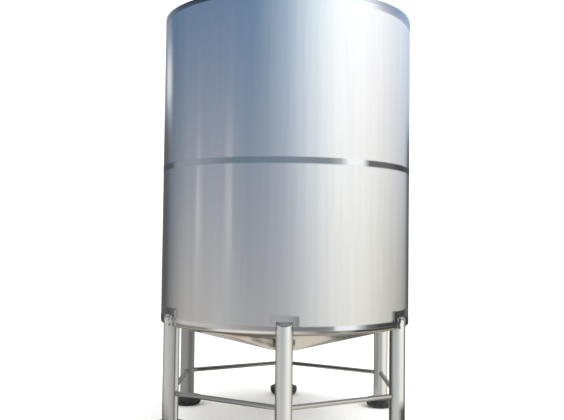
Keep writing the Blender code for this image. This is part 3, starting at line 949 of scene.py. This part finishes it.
def make_rail():
    """A straight tube from the leg on the -Y side to its neighbour, coped at both ends."""
    here = Vector((0.0, -LEG_RING, RAIL_HEIGHT))
    there = Matrix.Rotation(math.tau / LEG_COUNT, 4, "Z") @ here
    along = there - here
    rail = start(bpy.ops.mesh.primitive_cylinder_add, "rail_tube_1", (here + there) / 2.0,
                 vertices=RAIL_SIDES, radius=RAIL_RADIUS, depth=along.length - LEG_RADIUS,
                 rotation=along.to_track_quat("Z", "Y").to_euler())
    reach = RAIL_RADIUS * 2.0
    for place in (here, there):
        profile = [(0.0, RAIL_HEIGHT + reach), (LEG_RADIUS + GAP, RAIL_HEIGHT + reach),
                   (LEG_RADIUS + GAP, RAIL_HEIGHT - reach), (0.0, RAIL_HEIGHT - reach)]
        trim(rail, turned("leg_outside", profile, LEG_SIDES, (place.x, place.y)))
    smooth(rail)
    return rail


def make_frame(materials):
    """One leg with its pad, foot, rail and welds, and then the other five of each."""
    pad = make_pad()
    leg = make_leg(pad)
    foot = make_foot()
    rail = make_rail()
    leg_foot = ring_weld("leg_foot_weld_1", LEG_RADIUS, LEG_LOW.z + WELD * 0.5, WELD, materials,
                         (0.0, -LEG_RING), LEG_SIDES)

    def leg_head(edge, middle):
        outside = middle.xy.length > SHELL_RADIUS - PLATE
        return sharp(edge) and outside and middle.z > RAIL_HEIGHT

    head_weld = outline_bead(leg, "leg_head_weld_1", WELD, leg_head)
    rail_weld = outline_bead(rail, "rail_weld_1", RAIL_WELD, lambda edge, middle: sharp(edge))
    for first, finish, slot, node in ((pad, "band", "tube", "leg_pad"),
                                      (leg, "tube", "tube", "leg"),
                                      (foot, "rubber", "foot_rubber", "foot"),
                                      (rail, "rail", "tube", "rail"),
                                      (leg_foot, "weld", "tube", None),
                                      (head_weld, "weld", "tube", None),
                                      (rail_weld, "weld", "tube", None)):
        for index in range(LEG_COUNT):
            piece = first
            if index:
                piece = repeat(first, f"{first.name[:-1]}{index + 1}",
                               math.tau * index / LEG_COUNT)
            dress(piece, materials[finish], [f"{node}_{index + 1}"] if node else ())


# Floor, light and camera

def make_floor():
    floor = start(bpy.ops.mesh.primitive_circle_add, "studio_floor", (0.0, 0.0, 0.0),
                  vertices=FITTING_SIDES, radius=FLOOR_RADIUS, fill_type="NGON")
    material, _, shader = new_material("pale_studio_floor")
    shader.inputs["Base Color"].default_value = srgb("#F4F4F2")
    shader.inputs["Roughness"].default_value = 0.9
    shader.inputs["Specular IOR Level"].default_value = 0.1
    floor.data.materials.append(material)
    floor.visible_glossy = False


def only_mirrored(piece, make_look):
    """Let a piece be seen by the steel's mirror image alone, as a painted reflection. Its look is a
    colour and a cover.
    """
    material = bpy.data.materials.new(piece.name + "_look")
    material.use_nodes = True
    piece.data.materials.append(material)
    tree = material.node_tree
    tree.nodes.clear()
    colour, cover = make_look(tree, add(tree, "ShaderNodeTexCoord").outputs["Object"])
    clear = add(tree, "ShaderNodeBsdfTransparent")
    shown = add(tree, "ShaderNodeEmission", {"Color": colour})
    mixed = add(tree, "ShaderNodeMixShader", {
        "Fac": cover, 1: clear.outputs[0], 2: shown.outputs[0]})
    add(tree, "ShaderNodeOutputMaterial", {"Surface": mixed.outputs[0]})
    piece.visible_camera = False
    piece.visible_diffuse = False
    piece.visible_shadow = False
    piece.visible_transmission = False


def lay_patch(name, centre, radius, core, depth, colour):
    """A soft-edged round disc on the floor, seen only in the steel above it: a painted reflection of
    its colour, mostly painted shade.
    """

    def look(tree, place):
        away = add(tree, "ShaderNodeVectorMath", {0: place, 1: centre}, operation="DISTANCE")
        cover = add(tree, "ShaderNodeMapRange", {
            "Value": away.outputs["Value"], "From Min": radius, "From Max": core,
            "To Max": depth}, interpolation_type="SMOOTHSTEP")
        return srgb(colour), cover.outputs[0]

    only_mirrored(start(bpy.ops.mesh.primitive_circle_add, name, centre, vertices=FITTING_SIDES,
                        radius=radius, fill_type="NGON"), look)


def fading(tree, height, level, clear, full, fade="LINEAR"):
    """Cover by the distance from a level: none where it is clear, all where it is full."""
    off = add(tree, "ShaderNodeMath", {0: height, 1: level}, operation="SUBTRACT")
    away = add(tree, "ShaderNodeMath", {0: off.outputs[0]}, operation="ABSOLUTE")
    return add(tree, "ShaderNodeMapRange", {
        "Value": away.outputs[0], "From Min": clear, "From Max": full},
        interpolation_type=fade).outputs[0]


def tones_round(tree, split, centre, reach, stops):
    """Tones round an upright axis, from azimuth, colour and cover, reach degrees to each side."""
    side, ahead = (add(tree, "ShaderNodeMath", {0: more, 1: less}, operation="SUBTRACT").outputs[0]
                   for more, less in ((split.outputs["X"], centre[0]),
                                      (centre[1], split.outputs["Y"])))
    azimuth = add(tree, "ShaderNodeMath", {0: side, 1: ahead}, operation="ARCTAN2")
    turn = add(tree, "ShaderNodeMapRange", {
        "Value": azimuth.outputs[0], "From Min": -math.radians(reach),
        "From Max": math.radians(reach)})
    ramp = add(tree, "ShaderNodeValToRGB", {"Fac": turn.outputs[0]})
    set_stops(ramp.color_ramp, [((angle + reach) / (2.0 * reach), (*colour, *(cover or (1.0,))))
                                for angle, colour, *cover in stops])
    return ramp


def hang_flag(name, high, low, stops, radius, centre=(0.0, 0.0), soft_edge=FLAG_EDGE):
    """A strip of painted reflection and shade hung close round the tank or a leg, seen only in the
    steel there.
    """
    level, half = (high + low) / 2.0, (high - low) / 2.0
    first, last = stops[0], stops[-1]
    stops = [(-FLAG_CLEAR, first[1], 0.0), (-FLAG_ENDS, *first[1:]), *stops,
             (FLAG_ENDS, *last[1:]), (FLAG_CLEAR, last[1], 0.0)]

    def look(tree, place):
        split = add(tree, "ShaderNodeSeparateXYZ", {0: place})
        tones = tones_round(tree, split, centre, 90.0, stops)
        edge = fading(tree, split.outputs["Z"], level, half, half - soft_edge)
        cover = add(tree, "ShaderNodeMath", {0: tones.outputs["Alpha"], 1: edge},
                    operation="MULTIPLY")
        return tones.outputs["Color"], cover.outputs[0]

    only_mirrored(rolled(name, radius, level, high - low, centre), look)


def hang_strip(name, index):
    """A strip of painted shade hung along the rail after a leg, on the tank's side of the rail, seen
    only in mirror images.
    """
    turn = math.tau * (index + 0.5) / LEG_COUNT
    reach = LEG_RING * math.cos(math.pi / LEG_COUNT) - RAIL_STRIP_GAP
    level = RAIL_HEIGHT + (RAIL_STRIP_HIGH + RAIL_STRIP_LOW) / 2.0
    half = (RAIL_STRIP_HIGH - RAIL_STRIP_LOW) / 2.0

    def look(tree, place):
        split = add(tree, "ShaderNodeSeparateXYZ", {0: place})
        return RAIL_STRIP_COLOUR, fading(tree, split.outputs["Z"], level, half, half - FLAG_EDGE)

    only_mirrored(start(bpy.ops.mesh.primitive_plane_add, name,
                        (reach * math.sin(turn), -reach * math.cos(turn), level),
                        (LEG_RING - 3.0 * LEG_RADIUS, 2.0 * half, 1.0), size=1.0,
                        rotation=(math.pi / 2.0, 0.0, turn)), look)


def hang_cloth():
    """Painted reflections and shade, seen only in the steel: discs on the floor, strips round the shell
    and legs, and strips along two rails.
    """
    for name, patch in FLOOR_PATCHES.items():
        lay_patch(name, *patch)
    for name, (high, low, stops, gap) in SHELL_FLAGS.items():
        hang_flag(name, high, low, stops, SHELL_RADIUS + gap)
    for name, (index, high, low, stops, gap, soft_edge) in LEG_FLAGS.items():
        turn = math.tau * index / LEG_COUNT
        centre = (LEG_RING * math.sin(turn), -LEG_RING * math.cos(turn))
        hang_flag(name, high, low, stops, LEG_RADIUS + gap, centre, soft_edge)
    for name, index in RAIL_STRIPS.items():
        hang_strip(name, index)


def lay_over(tree, behind, colour, cover):
    """Lay a colour over what is behind it, as far as it covers."""
    return add(tree, "ShaderNodeMix", {"Factor": cover, 6: behind, 7: colour},
               data_type="RGBA").outputs[2]


def hang_card(tree, behind, level, height, card):
    """Hang one soft-edged card in front of what is behind it."""
    azimuth, reach, side_edge, low, high, edge, colour, cover = card
    azimuth, reach, side_edge = (math.radians(value) for value in (azimuth, reach, side_edge))
    low, high, edge = (math.sin(math.radians(value)) for value in (low, high, edge))
    heading = (math.sin(azimuth), -math.cos(azimuth), 0.0)
    facing = add(tree, "ShaderNodeVectorMath", {0: level, 1: heading}, operation="DOT_PRODUCT")
    across = add(tree, "ShaderNodeMapRange", {
        "Value": facing.outputs["Value"], "From Min": math.cos(min(reach + side_edge, math.pi)),
        "From Max": math.cos(reach)}, interpolation_type="SMOOTHSTEP")
    half = (high - low) / 2.0
    up = fading(tree, height, (low + high) / 2.0, half + edge / 2.0, half - edge / 2.0,
                "SMOOTHSTEP")
    inside = add(tree, "ShaderNodeMath", {0: across.outputs[0], 1: up}, operation="MULTIPLY")
    hidden = add(tree, "ShaderNodeMath", {0: inside.outputs[0], 1: cover}, operation="MULTIPLY")
    return lay_over(tree, behind, (*colour, 1.0), hidden.outputs[0])


def make_world():
    """Soft panels and cards round the tank for its steel to mirror, and white paper for all else."""
    world = bpy.data.worlds.new("studio")
    bpy.context.scene.world = world
    world.use_nodes = True
    tree = world.node_tree
    tree.nodes.clear()
    toward = add(tree, "ShaderNodeTexCoord").outputs["Generated"]
    split = add(tree, "ShaderNodeSeparateXYZ", {0: toward})
    height = split.outputs["Z"]
    flat = add(tree, "ShaderNodeCombineXYZ", {"X": split.outputs["X"], "Y": split.outputs["Y"]})
    level = add(tree, "ShaderNodeVectorMath", {0: flat.outputs[0]}, operation="NORMALIZE").outputs[0]
    low, high = (tones_round(tree, split, (0.0, 0.0), 180.0, panels).outputs["Color"]
                 for panels in (LOW_PANELS, HIGH_PANELS))
    studio = low
    for colour, cover, (begin, end) in ((high, 1.0, PANELS_MEET),
                                        (OVERHEAD, 1.0, OVERHEAD_FROM),
                                        (FLOOR_CARD, FLOOR_CARD_COVER, FLOOR_CARD_FROM),
                                        (FLOOR_NEAR, 1.0, FLOOR_NEAR_FROM)):
        share = add(tree, "ShaderNodeMapRange", {
            "Value": height, "From Min": begin, "From Max": end, "To Max": cover},
            interpolation_type="SMOOTHSTEP")
        studio = lay_over(tree, studio, colour, share.outputs[0])
    for card in CARDS.values():
        studio = hang_card(tree, studio, level, height, card)
    mirrored = add(tree, "ShaderNodeBackground", {"Color": studio, "Strength": 1.0})
    paper = add(tree, "ShaderNodeBackground", {"Color": PAPER, "Strength": PAPER_STRENGTH})
    path = add(tree, "ShaderNodeLightPath")
    mixed = add(tree, "ShaderNodeMixShader", {
        "Fac": path.outputs["Is Glossy Ray"], 1: paper.outputs[0], 2: mirrored.outputs[0]})
    add(tree, "ShaderNodeOutputWorld", {"Surface": mixed.outputs[0]})


def make_lights():
    """One large softbox, high on the right of the camera, and a fill on the left."""
    for name, (place, side, power) in SOFTBOXES.items():
        bpy.ops.object.light_add(type="AREA", location=place)
        lamp = bpy.context.object
        lamp.name = name
        lamp.data.shape = "SQUARE"
        lamp.data.size = side
        lamp.data.energy = power
        aim = Vector(SOFTBOXES_AIM) - Vector(place)
        lamp.rotation_euler = aim.to_track_quat("-Z", "Y").to_euler()
        lamp.visible_glossy = False


def make_camera():
    bpy.ops.object.camera_add(location=(0.0, -CAMERA_DISTANCE, CAMERA_HEIGHT))
    camera = bpy.context.object
    turn = Matrix.Rotation(CAMERA_YAW, 4, "Z")
    tilt = Matrix.Rotation(math.pi / 2.0 + CAMERA_PITCH, 4, "X")
    roll = Matrix.Rotation(CAMERA_ROLL, 4, "Z")
    camera.rotation_euler = (turn @ tilt @ roll).to_euler()
    camera.data.sensor_width = SENSOR
    camera.data.lens = CAMERA_FOCAL_PX * SENSOR / PHOTO_WIDTH
    camera.data.clip_end = CAMERA_SEES
    bpy.context.scene.camera = camera


def main():
    deselect()
    materials = make_materials()
    for name, low, high in (("lower", SEAM_BOTTOM, SEAM_MIDDLE - GAP),
                            ("upper", SEAM_MIDDLE, SEAM_TOP)):
        make_course(f"{name}_course", low, high,
                    [f"shell_{name}_{i}" for i in range(1, 7)], materials["brushed"])
    half = BAND_WIDTH / 2.0
    for name, high, low in (
            ("weld_band_bottom", SEAM_BOTTOM + BOTTOM_BAND[0], SEAM_BOTTOM + BOTTOM_BAND[1]),
            ("weld_band_middle", SEAM_MIDDLE + half, SEAM_MIDDLE - half),
            ("weld_band_top", SEAM_TOP + half, SEAM_TOP - half)):
        make_band(name, high, low, materials["band"])
    make_cone_seam(materials["seam"])
    make_ends(materials)
    make_nozzle("outlet_ferrule", "outlet_nozzle", OUTLET_LOW.z, OUTLET_HIGH.z, materials)
    top_low, top_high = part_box("roof_nozzle")
    make_nozzle("roof_ferrule", "roof_nozzle", top_high.z, top_low.z, materials)
    make_manway(materials)
    make_eye_plates(materials)
    make_frame(materials)
    make_floor()
    hang_cloth()
    make_world()
    make_lights()
    make_camera()
    bpy.context.scene.view_settings.view_transform = "Standard"
    bpy.context.scene.view_settings.look = "None"


main()
